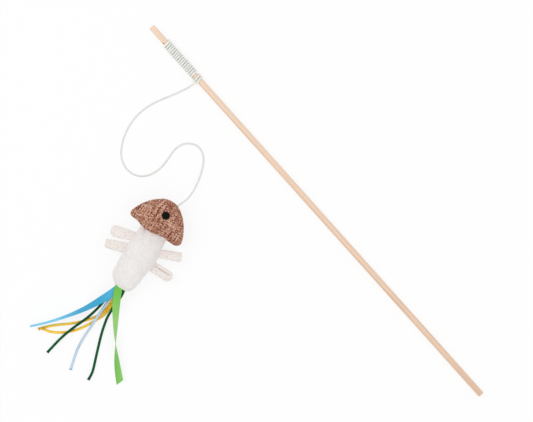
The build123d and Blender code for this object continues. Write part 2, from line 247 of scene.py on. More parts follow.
def coat(graph, colour, roughness, height, depth, **fixed):
    """Close a finish: what varies goes to colour, roughness and bump, and the rest is fixed."""
    bump = graph.node("ShaderNodeBump", None, {"Strength": 1.0, "Distance": depth, "Height": height})
    sockets = {"Base Color": colour, "Roughness": roughness, "Normal": bump}
    sockets.update({key.replace("_", " "): value for key, value in fixed.items()})
    shader = graph.node("ShaderNodeBsdfPrincipled", None, sockets)
    graph.node("ShaderNodeOutputMaterial", None, {"Surface": shader})


print("node helpers ready")

# %% [markdown]
# ## Cords as tubes along a route
# A cord is a round section carried along a line. The line is one NURBS spline through the route's points, so
# it bends as a limp cord does, and a Geometry Nodes tree carries the section along it. The tree also writes
# marks on the surface, the length from both ends and the place round it, because braid and satin follow the
# cord and not the room.

# %% Routes


def lay_route(name, points):
    curve = bpy.data.curves.new(name, "CURVE")
    curve.dimensions = "3D"
    curve.resolution_u = 6
    spline = curve.splines.new("NURBS")
    spline.points.add(len(points) - 1)
    for knot, spot in zip(spline.points, points):
        knot.co = (*spot, 1.0)
    spline.order_u = 3
    spline.use_endpoint_u = True
    return put(name, curve)


def path_of(route):
    line = bpy.data.meshes.new_from_object(route)
    path = [spot.co.copy() for spot in line.vertices]
    bpy.data.meshes.remove(line)
    return path


def path_length(path):
    return sum((b - a).length for a, b in zip(path, path[1:]))


print("routes ready")

# %% The tube tree


def new_tree(name, **inputs):
    tree = bpy.data.node_groups.new(name, "GeometryNodeTree")
    for label, kind in inputs.items():
        tree.interface.new_socket(label, in_out="INPUT", socket_type="NodeSocket" + kind)
    tree.interface.new_socket("Geometry", in_out="OUTPUT", socket_type="NodeSocketGeometry")
    graph = Graph(tree)
    return tree, graph, graph.node("NodeGroupInput")


def close_tree(graph, made, finish):
    real = graph.node("GeometryNodeRealizeInstances", None, {"Geometry": made})
    dressed = graph.node("GeometryNodeSetMaterial", None, {"Geometry": real, "Material": finish})
    graph.node("NodeGroupOutput", None, {"Geometry": dressed})


def made_mesh(thing):
    """What an object's modifiers make of it, as a mesh of its own."""
    bpy.context.view_layer.update()
    return bpy.data.meshes.new_from_object(thing.evaluated_get(bpy.context.evaluated_depsgraph_get()))


def grow(name, tree, **inputs):
    """Run a tree on an empty mesh and keep the result as a plain mesh."""
    bare = bpy.data.meshes.new(name)
    seed = put(name, bare)
    modifier = seed.modifiers.new(tree.name, "NODES")
    modifier.node_group = tree
    for item in tree.interface.items_tree:
        if item.in_out == "INPUT" and item.name in inputs:
            modifier[item.identifier] = inputs[item.name]
    made = made_mesh(seed)
    seed.modifiers.clear()
    seed.data = made
    bpy.data.meshes.remove(bare)
    made.name = name
    return seed


def face_outwards(mesh, crease=40.0):
    """Point the faces out, shade them smooth and keep cut edges sharp."""
    work = bmesh.new()
    work.from_mesh(mesh)
    bmesh.ops.recalc_face_normals(work, faces=work.faces)
    for face in work.faces:
        face.smooth = True
    work.to_mesh(mesh)
    work.free()
    mesh.set_sharp_from_angle(angle=math.radians(crease))


def store(graph, shape, name, value, kind="FLOAT"):
    sockets = {"Geometry": shape, "Name": name, "Value": value}
    return graph.node("GeometryNodeStoreNamedAttribute", {"data_type": kind, "domain": "POINT"}, sockets)


tube_tree, tube, given = new_tree(
    "tube", Route="Object", Radius="Float", Sides="Int", Spacing="Float",
    Flare="Float", Flare_Length="Float", Finish="Material",
)
line = tube.node(
    "GeometryNodeObjectInfo", {"transform_space": "ORIGINAL"}, {"Object": given.of("Route")}, "Geometry",
)
even_sockets = {"Curve": line, "Length": given.of("Spacing")}
even = tube.node("GeometryNodeResampleCurve", {"mode": "LENGTH"}, even_sockets)
along = tube.node("GeometryNodeSplineParameter").of("Length")
left = tube.node("GeometryNodeSplineLength").of("Length") - along
marked = store(tube, store(tube, even, "along", along), "left", left)
circle = tube.node(
    "GeometryNodeCurvePrimitiveCircle", {"mode": "RADIUS"},
    {"Resolution": given.of("Sides"), "Radius": given.of("Radius")},
)
section = store(tube, circle, "ring", tube.node("GeometryNodeInputPosition"), "FLOAT_VECTOR")
near_end = tube.maths("SUBTRACT", 1.0, left / given.of("Flare_Length"), use_clamp=True)
tube_mesh = tube.node("GeometryNodeCurveToMesh", None, {
    "Curve": marked, "Profile Curve": section, "Fill Caps": True,
    "Scale": 1.0 + given.of("Flare") * near_end * near_end,
})
close_tree(tube, tube_mesh, given.of("Finish"))
print("tube tree nodes:", len(tube_tree.nodes))

# %% Tubes
FLARE_WIDTHS = 1.5
TUBE_GAP = 0.03 * MM


def make_tube(name, points, diameter, finish, spacing, sides=14, flare=0.0):
    """A tube along the route of these points, with the path that its spline gave."""
    route = lay_route(name + "_route", points)
    path = path_of(route)
    made = grow(
        name, tube_tree, Route=route, Radius=diameter / 2, Sides=sides, Spacing=spacing,
        Flare=flare, Flare_Length=FLARE_WIDTHS * diameter, Finish=finish,
    )
    bpy.data.objects.remove(route)
    face_outwards(made.data)
    print(name, "is", round(1000 * path_length(path), 1), "mm of tube,", len(made.data.polygons), "faces")
    return made, path


def rest_tube(made):
    """Flatten a tube where it would go below the table."""
    for corner in made.data.vertices:
        corner.co.z = max(corner.co.z, TABLE + TUBE_GAP)


print("tube maker ready")

# %% [markdown]
# ## The braided cord's finish
# The string is an off-white braid, so two sets of strands run round it both ways and pass over and under each
# other. The marks on the tube give the angle round the cord and the length along it. Two slanted waves of
# those make the strands, and the higher of the two is the one on top. The turns on the rod get a paler copy
# of the same braid, which is painted light.

# %% Braid finish
BRAID_STRANDS, BRAID_LAY = 4.0, 1.3 * MM


def lines_round(graph, count):
    """The angle round a tube as a count of strands, from -count / 2 to count / 2."""
    parts = graph.parts(graph.mark("ring", "Vector"))
    turn = graph.maths("ARCTAN2", parts.of("Y"), parts.of("X"))
    return turn * (count / (2 * math.pi))


def braid_finish(name, light, shade):
    finish, graph = finish_graph(name)
    round_it = lines_round(graph, BRAID_STRANDS)
    forth = graph.mark("along") / BRAID_LAY
    right, left = (
        graph.maths("ABSOLUTE", graph.maths("SINE", slanted * math.pi))
        for slanted in (round_it + forth, round_it - forth)
    )
    height = graph.maths("MAXIMUM", right, left)
    soil = graph.speckle(graph.room(), 260.0, 4.0)
    # painted shade: the low places between the strands are coloured darker, plus a random soil speckle
    hollow_shade_and_soil = (1.0 - height) * 0.6 + (soil - 0.5) * 0.5 + 0.1
    colour = graph.ramp(hollow_shade_and_soil, (0.0, light), (0.5, shade))
    coat(graph, colour, 0.75 + soil * 0.2, height, 0.00004, Specular_IOR_Level=0.2)
    return finish


braid = braid_finish("braided_cord", (231, 231, 229), (218, 219, 216))
# painted light: the turns on the rod are the same cord, given a paler copy of the braid
lit_winding_braid = braid_finish("wound_braid_painted_light", (248, 250, 246), (218, 222, 215))
print("finishes:", braid.name, lit_winding_braid.name)

# %% [markdown]
# ## The free cord
# From the winding the cord runs over the table in an S and climbs into the top of the head. It is shown from
# end to end in the photograph, so the route's points are the ones of the CAD tube.

# %% The rod's winding as numbers
ROD_WAY = Vector(next(m["axis"] for m in frame["record"]["mounts"] if m["name"] == "rod_tip"))
ROD_SIDE = Vector((0.0, 1.0, 0.0))
ROD_UP = ROD_WAY.cross(ROD_SIDE)
CORD_WIDTH, WOUND_WIDTH, CORD_STEP = 1.4, 1.62, 0.45
HELIX_RADIUS, HELIX_ALONG, HELIX_START, TURNED = 3.1, 372.0, 170.0, 6595.0
PITCH, WIDE_GAP, WIDE_TURN = 1.95, 2.6, 16.2
UNEVEN_STEPS, UNEVEN_OUT, OUT_SPAN = [(0.12, 190), (0.08, 83)], 0.08, 140


def on_rod(out, angle, along):
    turn = math.radians(angle)
    return (ROD_SIDE * (out * math.cos(turn)) + ROD_UP * (out * math.sin(turn)) + ROD_WAY * along) * MM


def on_winding(turned):
    step = min(max(turned / 360 - WIDE_TURN, 0.0), 1.0)
    along = HELIX_ALONG - PITCH * turned / 360 - WIDE_GAP * step * step * (3 - 2 * step)
    along += sum(size * math.sin(turned / span) for size, span in UNEVEN_STEPS)
    out = HELIX_RADIUS + UNEVEN_OUT * math.sin(turned / OUT_SPAN)
    return on_rod(out, HELIX_START - turned, along)


print("the last turn ends at", [round(v, 4) for v in on_winding(TURNED)])

# %% The free cord
CORD_INSIDE = 3.0
CORD_ROUTE = [
    (334.6, 8.2, 1.7), (335.8, 13.6, 0.7), (338.0, 20.8, 0.7), (340.4, 27.6, 0.7), (343.4, 36.0, 0.7),
    (345.7, 46.2, 0.7), (345.8, 56.8, 0.7), (343.2, 67.6, 0.7), (338.2, 77.6, 0.7), (331.6, 85.4, 0.7),
    (324.4, 89.2, 0.7), (316.8, 89.8, 0.7), (310.2, 87.4, 0.7), (305.6, 82.6, 0.7), (302.8, 75.8, 0.7),
    (302.2, 68.0, 0.7), (303.8, 59.6, 0.7), (306.0, 51.2, 0.7), (305.2, 44.2, 0.7), (301.6, 38.8, 0.7),
    (296.8, 35.8, 0.7), (291.2, 35.6, 0.7), (285.6, 38.2, 0.7), (280.0, 44.4, 0.8), (275.0, 53.0, 1.9),
    (271.2, 62.0, 4.8), (269.5, 70.6, 8.2),
]
cord_leaves = Vector(joints["cord_swing"]["pos_m"])
cord_enters = Vector(joints["lure_swing"]["pos_m"])
cord_points = [cord_leaves]
cord_points += [Vector((x * MM, y * MM, TABLE + height * MM)) for x, y, height in CORD_ROUTE]
cord_points += [cord_enters, cord_enters + LURE_WAY * CORD_INSIDE * MM]
cord, cord_path = make_tube("cord_line", cord_points, CORD_WIDTH * MM, braid, CORD_STEP * MM)
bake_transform(cord)
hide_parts("cord")

# %% [markdown]
# ## The winding
# Eighteen turns of the same cord go round the rod, out of a small cross hole, with one wider step that shows
# the wood. A helix is a rule, so its points come from the CAD tube's formula, made a little uneven. Wound cord
# is pressed wider than free cord, and flat where the rod lies on it. A short hitch over the last turns holds
# the end: it runs through the point where the free cord swings, so that the cord always comes out of it.

# %% Winding
STEPS_ROUND = 20
ANCHOR = [(0.3, 215, 374), (2.2, 215, 374), (3.2, 203, 373.6)]
HITCH = [
    (3.2, 34, 332.75), (3.4, 22, 332.9), (4.0, 12, 333.5), (4.3, 13, 334.7), (4.1, 8, 335.8),
    (3.4, -2, 336.8), (2.6, -16, 337.2),
]
wound = [on_winding(360 * i / STEPS_ROUND) for i in range(int(TURNED * STEPS_ROUND / 360) + 1)]
winding_points = [on_rod(*spot) for spot in ANCHOR] + wound + [on_rod(*spot) for spot in HITCH]
winding, _ = make_tube("wound_cord", winding_points, WOUND_WIDTH * MM, lit_winding_braid, CORD_STEP * MM)
rest_tube(winding)
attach(winding, "wand")
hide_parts("cord_winding")

# %% [markdown]
# ## Satin
# The ribbons and the tail's cords are satin: fine threads lie side by side and catch the light along the
# strip. The thread lines are too fine to model, so they are a bump, with a little colour drift. The ribbons'
# colours also change along their length, which is painted sheen and shade. The cut ends of the cords show
# darker thread.

# %% Satin finishes
CORD_THREAD, CUT_LENGTH = 0.42 * MM, 1.5 * MM
RIBBON_REACH, WEFT_STEP, SELVEDGE = 90.0, 0.4, 2.75


def satin_cord_finish(name, light, shade, cut):
    finish, graph = finish_graph(name)
    wrap = lines_round(graph, 1.0) * 2.0
    threads = graph.mark("along") / CORD_THREAD + wrap
    thread = graph.maths("SINE", threads * (2 * math.pi)) * 0.5 + 0.5
    drift = graph.speckle(graph.room(), 140.0, 3.0)
    colour = graph.ramp(drift * 0.85 + thread * 0.12, (0.2, shade), (0.62, light))
    end = graph.maths("LESS_THAN", graph.mark("left"), CUT_LENGTH)
    colour = graph.mix(end * 0.75, colour, paint(*cut))
    coat(graph, colour, 0.42 + drift * 0.2, thread, 0.000008, Specular_IOR_Level=0.12)
    return finish


def satin_ribbon_finish(name, lights, shades, painted_fold_split=0.0):
    """Ramps along the ribbon, painted sheen and shade; split paints one half darker, one lighter at the far end.
    """
    finish, graph = finish_graph(name)
    place = graph.mark("strip", "Vector")
    strip = graph.parts(place)
    forth, side = strip.of("X"), graph.maths("ABSOLUTE", strip.of("Y"))
    weft = graph.maths("SINE", forth * (2 * math.pi / WEFT_STEP)) * 0.5 + 0.5
    warp = graph.speckle(graph.stretch(place, (0.05, 2.2, 1.0)), 1.6, 3.0)
    selvedge = graph.maths("GREATER_THAN", side, SELVEDGE)
    tone = warp * 1.3 + weft * 0.15 - selvedge * 0.2 - 0.2
    far = forth / RIBBON_REACH
    late = graph.maths("MULTIPLY", far - 0.55, 8.0, use_clamp=True)
    # painted shade across a fold: past the twist one half of the ribbon darker, the other lighter
    tone = tone - late * strip.of("Y") * painted_fold_split
    colour = graph.mix(tone, graph.ramp(far, *shades), graph.ramp(far, *lights))
    relief = weft * 0.5 + warp * 0.4 + selvedge * 0.6
    coat(graph, colour, 0.36 + warp * 0.2, relief, 0.00004, Specular_IOR_Level=0.25)
    return finish


SATIN_CORDS = {
    "yellow_satin": satin_cord_finish("yellow_cord_satin", (255, 217, 80), (255, 188, 38), (224, 158, 40)),
    "dark_green_satin": satin_cord_finish("dark_green_cord_satin", (0, 94, 52), (0, 64, 34), (0, 48, 28)),
    "light_blue_satin": satin_cord_finish(
        "light_blue_cord_satin", (200, 221, 238), (174, 202, 225), (124, 180, 214)),
}
# painted sheen and shade: the blue is darker near the root and lighter towards the far end
blue_satin = satin_ribbon_finish("blue_ribbon_satin", [
    (0.0, (96, 190, 226)), (0.2, (68, 177, 217)), (0.42, (68, 180, 220)), (0.65, (126, 217, 252)),
    (1.0, (136, 218, 248)),
], [
    (0.0, (68, 172, 213)), (0.2, (40, 154, 200)), (0.42, (42, 157, 203)), (0.65, (102, 202, 244)),
    (1.0, (90, 186, 228)),
])
# painted sheen and shade along the green ribbon, with painted shade on one half past the twist
green_satin = satin_ribbon_finish("green_ribbon_satin", [
    (0.0, (118, 197, 82)), (0.12, (134, 205, 98)), (0.3, (164, 218, 130)), (0.5, (158, 214, 124)),
    (0.65, (142, 206, 106)), (1.0, (148, 208, 114)),
], [
    (0.0, (92, 180, 60)), (0.12, (110, 191, 76)), (0.3, (146, 208, 110)), (0.5, (136, 202, 98)),
    (0.65, (106, 188, 74)), (1.0, (114, 191, 80)),
], painted_fold_split=0.12)
print("satin finishes:", len(SATIN_CORDS) + 2)

# %% [markdown]
# ## The tail's satin cords
# Five cords come out of the end seam in a bundle, slide down to the table and fan out. Each has its own
# route, laid over its neighbours as in the photograph, and a blunt end that flares a little where it was cut.

# %% Tail cords
STRAND_WIDTH, STRAND_STEP, STRAND_FLARE = 2.1, 0.5, 0.16
TAIL_SEAM, TAIL_MIDDLE, STRAND_EXIT = 53.6, 1.2, 55.0
STRAND_TUCK, TUCK_SHARE, TUCK_RISE = 2.0, 0.8, 0.1
BEND_START, STRAND_BEND, BEND_HEIGHT = 53.4, 57.0, 8.8
STRAND_ROUTES = {
    "left_dark_green_cord": ("dark_green_satin", 75, (-2.2, 8.0), [
        (59.5, -2.7, 7.5), (66, -3.3, 6.4), (72.5, -4, 5.4), (79, -5.2, 4.4), (85.4, -6.8, 3.8),
        (92.2, -9.2, 3.6), (98.8, -11.9, 3.5), (105.6, -14.2, 3.55), (112, -16.0, 2.9),
        (118.8, -17.4, 1.5), (128.0, -18.9, 1.05)]),
    "light_blue_cord": ("light_blue_satin", 75, (-0.8, 8.2), [
        (59.5, -0.6, 7.8), (67, -0.8, 6.5), (75.5, -1.2, 4.6), (83, -1.4, 3.75), (90.5, -1.1, 3.55),
        (98, -1.5, 2.3), (105.5, -1.3, 1.15), (113.5, -0.4, 1.05), (121, 1.5, 1.05), (129.5, 4.0, 1.05)]),
    "upper_yellow_cord": ("yellow_satin", 77, (1.2, 8.1), [
        (59.3, 1.5, 7.5), (64.5, 1.5, 5.7), (69.8, 1.4, 3.0), (75.0, 0.9, 1.3), (80.6, -0.7, 1.05),
        (87.6, -5.2, 1.05), (96.5, -13.2, 1.05), (103.7, -22.2, 1.05), (110.2, -29.7, 1.05),
        (116.5, -35.0, 1.05)]),
    "lower_yellow_cord": ("yellow_satin", 79, (3.3, 7.4), [
        (59.3, 3.6, 7.0), (64.5, 3.6, 5.5), (69.8, 3.4, 3.0), (75.2, 2.9, 1.3), (80.2, 1.9, 1.05),
        (86.6, -1.4, 1.05), (94.0, -5.0, 1.05), (101.4, -10.0, 1.05), (107.0, -15.8, 1.05),
        (110.9, -21.6, 1.05), (113.2, -26.2, 1.3), (113.7, -29.6, 2.3), (114.2, -32.4, 3.1)]),
    "right_dark_green_cord": ("dark_green_satin", 77, (5.4, 8.7), [
        (59.5, 5.7, 8.1), (65.5, 5.6, 6.2), (71.8, 5.3, 3.4), (77.6, 5.2, 1.4), (84.5, 6.6, 1.05),
        (93.0, 9.0, 1.05), (102.1, 12.3, 1.05), (110.9, 15.6, 1.05), (117.6, 18.2, 1.05),
        (122.8, 19.9, 1.05), (128.4, 20.0, 1.05)]),
}
for name, (satin, length, (root, rise), route) in STRAND_ROUTES.items():
    leaves = on_lure(STRAND_EXIT, root, rise)
    gathered = TAIL_MIDDLE + (root - TAIL_MIDDLE) * TUCK_SHARE
    points = [on_lure(TAIL_SEAM - STRAND_TUCK, gathered, rise + TUCK_RISE), leaves]
    points += [on_lure(*spot) for spot in route]
    strand, strand_path = make_tube(
        name + "_line", points, STRAND_WIDTH * MM, SATIN_CORDS[satin], STRAND_STEP * MM,
        sides=16, flare=STRAND_FLARE,
    )
    rest_tube(strand)
    start, end = (on_lure(place, TAIL_MIDDLE, BEND_HEIGHT) for place in (BEND_START, STRAND_BEND))
    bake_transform(strand)
    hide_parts(name)
    length * MM

# %% [markdown]
# ## Ribbons
# A ribbon is a thin strip that keeps its width while it twists. A spline gives its middle line, and at each
# step a side vector, turned by the twist there, gives its two edges. The strip is closed, with real thickness,
# and the green one ends in the slanted cut of a pair of scissors.

# %% Helpers for meshes of rings


def smoothed(values, reach, mode):
    """A running mean over this many neighbours on either side."""
    width = 2 * reach + 1
    return np.convolve(np.pad(values, reach, mode=mode), np.ones(width) / width, "valid")


def spread_along(path, spacing):
    """Even steps along a path: their distances and their spots, as arrays."""
    spots = np.array(path)
    far = np.concatenate([[0.0], np.cumsum(np.linalg.norm(np.diff(spots, axis=0), axis=1))])
    steps = np.linspace(0.0, far[-1], int(far[-1] / spacing) + 1)
    return steps, np.stack([np.interp(steps, far, spots[:, axis]) for axis in range(3)], 1)


def sew_rings(rings, count, closed=True):
    """Quads between rings of points, with the first and last ring closed unless they stay open."""
    faces = []
    for ring in range(rings - 1):
        for i in range(count):
            j = (i + 1) % count
            faces.append((ring * count + i, ring * count + j, (ring + 1) * count + j, (ring + 1) * count + i))
    if closed:
        faces.append(tuple(range(count)))
        faces.append(tuple((rings - 1) * count + i for i in range(count)))
    return faces


def sew_dome(rings, count):
    """The same between open rings, with a pole before the first ring and one after the last."""
    faces = [tuple(1 + i for i in face) for face in sew_rings(rings, count, closed=False)]
    last = 1 + (rings - 1) * count
    for i in range(count):
        j = (i + 1) % count
        faces.append((0, 1 + i, 1 + j))
        faces.append((last + count, last + j, last + i))
    return faces


def mesh_of(name, points, faces):
    mesh = bpy.data.meshes.new(name)
    mesh.from_pydata([tuple(p) for p in points], [], faces)
    return mesh


def make_piece(name, points, faces, finish, crease=60.0, **marks):
    """A mesh object in its finish, with marks on its points for the finish to read."""
    mesh = mesh_of(name, points, faces)
    for mark, values in marks.items():
        values = np.asarray(values, np.float32)
        flat = values.ndim == 1
        layer = mesh.attributes.new(mark, "FLOAT" if flat else "FLOAT_VECTOR", "POINT")
        layer.data.foreach_set("value" if flat else "vector", values.ravel())
    mesh.materials.append(finish)
    face_outwards(mesh, crease)
    made = put(name, mesh)
    print(name, "has", len(mesh.polygons), "faces")
    return made


print("ring helpers ready")

# %% Ribbons
RIBBON_WIDTH, RIBBON_THICK, RIBBON_STEP, RIBBON_LANES = 6.4, 0.4, 0.5, 13
EDGE_THIN, TWIST_REACH, SLANT_REACH, RIBBON_BEND = 0.45, 8, 8, 58.0
BLUE_STATIONS = [
    (54.4, 0.5, 10.4, 0), (63.3, -2.9, 10.1, 11), (71.9, -7.2, 8.6, 34), (80.3, -11.6, 6.6, 50),
    (88.4, -16.7, 5.0, 61), (96.2, -22.3, 4.1, 69), (103.8, -28.3, 3.6, 74), (111.1, -34.7, 3.5, 77),
    (118.0, -41.5, 3.4, 78),
]
GREEN_STATIONS = [
    (54.4, 0.25, 11.1, 0), (62.5, 4, 10.9, -12), (70.1, 8.2, 9, -31), (77.6, 12.8, 6.7, -49),
    (85, 17.5, 4.8, -64), (92.1, 22.2, 3.6, -84), (98.9, 27.2, 3.2, -110), (105.4, 32.4, 2.75, -132),
    (111.1, 37.3, 2.2, -147), (116.3, 42.1, 1.7, -155),
]


def make_ribbon(name, finish, stations, root, bend, slant=0.0):
    """A strip through its stations, each a spot and a twist; the bend is worked out but not used."""
    middle = [on_lure(*station[:3]) for station in stations]
    route = lay_route(name + "_route", [on_lure(*root)] + middle)
    path = path_of(route)
    bpy.data.objects.remove(route)
    steps, spots = spread_along(path, RIBBON_STEP * MM)
    ways = np.gradient(spots, axis=0)
    ways /= np.linalg.norm(ways, axis=1)[:, None]
    begin = path_length(path) - path_length(middle)
    places = np.linspace(begin, steps[-1], len(stations))
    twists = np.radians(np.interp(steps, places, [station[3] for station in stations]))
    twists = smoothed(twists, TWIST_REACH, "edge")
    level = np.cross([0.0, 0.0, 1.0], ways)
    level /= np.linalg.norm(level, axis=1)[:, None]
    up = np.cross(ways, level)
    side = level * np.cos(twists)[:, None] + up * np.sin(twists)[:, None]
    face = np.cross(ways, side)
    lanes = np.linspace(-1.0, 1.0, RIBBON_LANES)
    thick = np.where(np.abs(lanes) > 0.99, EDGE_THIN, 1.0) * RIBBON_THICK / 2
    upper = list(zip(lanes, thick))
    loop = upper + [(lane, -thin) for lane, thin in reversed(upper)]
    points, strip = [], []
    for i, step in enumerate(steps):
        pull = slant * MM * max(0.0, 1 - (steps[-1] - step) / (SLANT_REACH * MM))
        for lane, thin in loop:
            spot = spots[i] + side[i] * lane * RIBBON_WIDTH / 2 * MM + face[i] * thin * MM
            points.append(spot + ways[i] * pull * lane)
            strip.append((step / MM, lane * RIBBON_WIDTH / 2, thin))
    made = make_piece(name + "_strip", points, sew_rings(len(steps), len(loop)), finish, strip=strip)
    on_lure(BEND_START, *bend)
    on_lure(RIBBON_BEND, *bend)
    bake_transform(made)
    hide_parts(name)


make_ribbon(
    "blue_ribbon", blue_satin, BLUE_STATIONS,
    root=(53.0, 0.4, 10.15), bend=(0.9, 10.4),
)
make_ribbon(
    "green_ribbon", green_satin, GREEN_STATIONS,
    root=(53.15, 0.5, 10.75), bend=(0, 11.1), slant=1.6,
)

# %% [markdown]
# ## Tweed for the head
# The head is a coarse plain weave in browns. Its threads are about a millimetre wide, so they show as bumps
# on the outline, and they have to be in the mesh. The same rule is written twice: in arrays, to lift the
# mesh, and in nodes, to colour each thread. A mark on the surface holds the cloth's own coordinates, measured
# along the dome from the crown as flat cloth would be laid on it.

# %% Tweed finish
THREAD, WARP_FACE, CRIMP, ROUNDING = 1.1, 0.22, 0.5, 0.7


def weave_height(u, v):
    """How high a plain weave stands, from about -0.5 to 0.7, for cloth coordinates in threads."""
    warp = CRIMP * np.where(np.floor(u) % 2 == 0, 1, -1) * np.sin(np.pi * v)
    weft = -CRIMP * np.where(np.floor(v) % 2 == 0, 1, -1) * np.sin(np.pi * u)
    warp += ROUNDING * (np.abs(np.sin(np.pi * u)) - 1) + WARP_FACE
    weft += ROUNDING * (np.abs(np.sin(np.pi * v)) - 1)
    return np.maximum(warp, weft)


def weave_nodes(graph, cloth, thread):
    """The same weave as nodes: its height, a fleck for each crossing, where warp is on top, and its threads."""
    parts = graph.parts(cloth)
    u, v = parts.of("X") / thread, parts.of("Y") / thread
    column, row = graph.maths("FLOOR", u), graph.maths("FLOOR", v)
    warp_sign = 1.0 - 2.0 * graph.maths("FLOORED_MODULO", column, 2.0)
    weft_sign = 1.0 - 2.0 * graph.maths("FLOORED_MODULO", row, 2.0)
    sine_u, sine_v = graph.maths("SINE", u * math.pi), graph.maths("SINE", v * math.pi)
    warp = warp_sign * sine_v * CRIMP + ROUNDING * (graph.maths("ABSOLUTE", sine_u) - 1.0) + WARP_FACE
    weft = weft_sign * sine_u * -CRIMP + ROUNDING * (graph.maths("ABSOLUTE", sine_v) - 1.0)
    on_top = graph.maths("GREATER_THAN", warp, weft)
    fleck = graph.chance("3D", Vector=graph.spot(column, row, on_top))
    return graph.maths("MAXIMUM", warp, weft), fleck, on_top, column, row, u, v


def tweed_finish(name, *stops):
    finish, graph = finish_graph(name)
    cloth = graph.mark("cloth", "Vector")
    height, fleck, warp, column, row, u, v = weave_nodes(graph, cloth, THREAD)
    warp_spot = graph.spot(column * 7.3, v * 0.1, 0.0)
    weft_spot = graph.spot(u * 0.2, row * 5.7, 40.0)
    warp_dye, weft_dye = graph.chance("1D", W=column), graph.chance("1D", W=row + 0.5)
    warp_tone = graph.speckle(warp_spot, 1.0, 2.0) * 2.0 + warp_dye * 0.5
    weft_tone = graph.speckle(weft_spot, 1.0, 2.0) * 1.6 + weft_dye * 0.3 + 0.3
    thread_tone = warp * warp_tone + (1.0 - warp) * weft_tone - 1.25
    fibre = graph.speckle(cloth, 5.0, 4.0)
    # height * 0.2 is painted shade and light: the low places of the weave darker, the raised threads lighter
    tone = thread_tone + (fleck - 0.5) * 0.6 + (fibre - 0.5) * 0.25 + height * 0.2 + 0.53
    colour = graph.ramp(tone, *stops)
    coat(graph, colour, 0.82 + fibre * 0.15, height + fibre * 0.5, 0.0003, Specular_IOR_Level=0.15)
    return finish


tweed = tweed_finish(
    "tweed", (0.02, (112, 44, 22)), (0.26, (149, 85, 60)), (0.5, (176, 121, 98)),
    (0.74, (200, 153, 132)), (0.98, (228, 192, 170)),
)
print("finish:", tweed.name)

# %% [markdown]
# ## Cloth that swells
# A stuffed piece is sewn flat and then filled, and its cloth finds its own shape between the seams. Blender's
# Cloth with pressure does the same. It runs on a coarse copy, ten times as large because the solver likes
# bigger things, and only the shift of each point is kept, capped, and passed on to the fine mesh.

# %% Cloth helpers
CLOTH_GAP = 0.05 * MM
CLOTH_SCALE, CLOTH_VOXEL = 10.0, 1.6 * MM
CLOTH_PRESSURE, CLOTH_QUALITY, CLOTH_FRAMES = 4.0, 6, 20
NEAREST, NEAR_GAP = 6, 0.2 * MM


def swell(name, points, faces, cap):
    """How far each point moves, in metres, when the sewn shape is blown up."""
    coarse = put(name + "_cloth", mesh_of(name + "_cloth", points * CLOTH_SCALE, faces))
    remesh = coarse.modifiers.new("Remesh", "REMESH")
    remesh.mode, remesh.voxel_size = "VOXEL", CLOTH_VOXEL * CLOTH_SCALE
    coarse.data = made_mesh(coarse)
    coarse.modifiers.clear()
    before = np.array([v.co for v in coarse.data.vertices])
    settings = coarse.modifiers.new("Cloth", "CLOTH").settings
    settings.use_pressure = True
    settings.uniform_pressure_force = CLOTH_PRESSURE
    settings.effector_weights.gravity = 0.0
    settings.quality = CLOTH_QUALITY
    for frame_number in range(1, CLOTH_FRAMES + 1):
        bpy.context.scene.frame_set(frame_number)
    settled = coarse.evaluated_get(bpy.context.evaluated_depsgraph_get()).data
    shift = (np.array([v.co for v in settled.vertices]) - before) / CLOTH_SCALE
    far = np.linalg.norm(shift, axis=1)
    shift *= (np.minimum(far, cap) / np.maximum(far, 1e-9))[:, None]
    tree = kdtree.KDTree(len(before))
    for i, spot in enumerate(before / CLOTH_SCALE):
        tree.insert(spot, i)
    tree.balance()
    moved = np.zeros_like(points)
    for i, spot in enumerate(points):
        found = tree.find_n(spot, NEAREST)
        weights = np.array([1 / (gap + NEAR_GAP) for _, _, gap in found])
        moved[i] = (weights[:, None] * shift[[k for _, k, _ in found]]).sum(0) / weights.sum()
    bpy.data.objects.remove(coarse)
    bpy.context.scene.frame_set(1)
    print(name, "cloth points:", len(before), "mean shift in mm:", round(1000 * float(far.mean()), 2))
    return moved


def outward(points, faces):
    """Each point's direction away from the shape."""
    mesh = mesh_of("probe", points, faces)
    work = bmesh.new()
    work.from_mesh(mesh)
    bmesh.ops.recalc_face_normals(work, faces=work.faces)
    work.normal_update()
    ways = np.array([v.normal for v in work.verts])
    work.free()
    bpy.data.meshes.remove(mesh)
    return ways


def lumps(points, *sizes):
    """Uneven relief in mm at each point, from heights and how close together the lumps are."""
    return np.array([sum(high * noise.noise(Vector(p) * often) for high, often in sizes) for p in points])


def bowed(wave, power):
    """A wave with its sign kept and its shape made fuller or flatter."""
    return np.sign(wave) * np.abs(wave) ** power


def rest_on_table(points):
    """Flatten what would go below the table."""
    points[:, 2] = np.maximum(points[:, 2], TABLE + CLOTH_GAP)
    return points


print("cloth helpers ready")

# %% [markdown]
# ## The body's shape as a rule
# The body is a white plush pod, widest at the ribs and drawn in to a flat end seam. Its outline is a little
# uneven, as hand stuffing leaves it: a table gives half its width and its middle line along its length, and
# another how high it stands, as in the CAD loft. The rule comes before the head, because the head's base edge
# lies on the body's back.

# %% Body shares
BODY_LENGTH, BODY_SWELL = TAIL_SEAM, 10.0
OUTLINE_ALONG = [-7.0, 2.0, 10.0, 18.0, 23.0, 29.0, 35.0, 40.0, 45.0, 47.7, 50.5, 52.5, 53.6]
HALF_WIDTHS = [12.2, 12.3, 12.5, 13.4, 13.65, 13.15, 12.65, 12.0, 11.4, 10.5, 8.5, 6.4, 4.9]
MIDDLES = [-0.4, -0.4, -0.1, 0.5, 0.7, 0.45, 0.35, 0.45, 0.2, 0.45, 1.4, 1.8, 1.4]
ALONG_SHARES = [-0.13, 0.04, 0.18, 0.35, 0.52, 0.67, 0.80, 0.915, 1.0]
HEIGHT_SHARES = [0.22, 0.38, 0.78, 0.97, 1.0, 0.95, 0.81, 0.56, 0.14]


